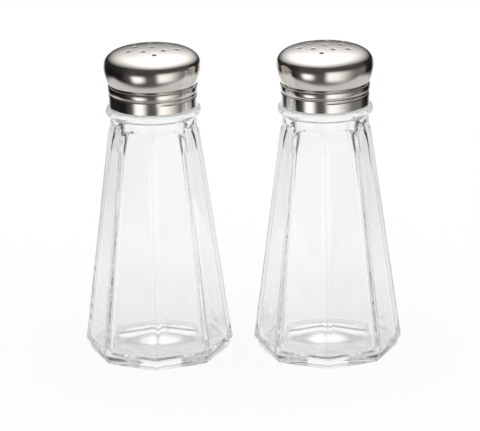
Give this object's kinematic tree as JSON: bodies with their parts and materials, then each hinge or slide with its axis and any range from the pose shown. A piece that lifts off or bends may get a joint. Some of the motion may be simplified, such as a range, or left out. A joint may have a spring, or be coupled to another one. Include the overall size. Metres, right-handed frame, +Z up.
{
  "type": "salt and pepper shaker pair",
  "caption": "Matched pair of tapered eight-sided clear glass shakers with screw-on polished steel mushroom caps that shake out salt and pepper.",
  "frame": {"origin": "middle of the pair, on the surface that the two feet stand on", "axes": "+Z up along the shakers, +X from the salt shaker to the pepper shaker through both axes, -Y the front, where each jar has a corner"},
  "size_m": [0.1096, 0.0512, 0.108],
  "materials": {
    "glass": "clear pressed glass, very faint grey-green",
    "stainless": "polished pressed stainless sheet"
  },
  "bodies": {
    "salt_jar": {"salt_jar": "glass"},
    "salt_cap": {"salt_cap": "stainless"},
    "pepper_jar": {"pepper_jar": "glass"},
    "pepper_cap": {"pepper_cap": "stainless"}
  },
  "joints": [
    {"name": "salt_cap_lift", "type": "slide", "parent": "salt_jar", "child": "salt_cap", "axis": [0, 0, 1], "range_m": [0, 0.03]},
    {"name": "pepper_jar_lift", "type": "slide", "parent": "salt_jar", "child": "pepper_jar", "axis": [0, 0, 1], "range_m": [0, 0.12]},
    {"name": "pepper_cap_lift", "type": "slide", "parent": "pepper_jar", "child": "pepper_cap", "axis": [0, 0, 1], "range_m": [0, 0.03]}
  ]
}
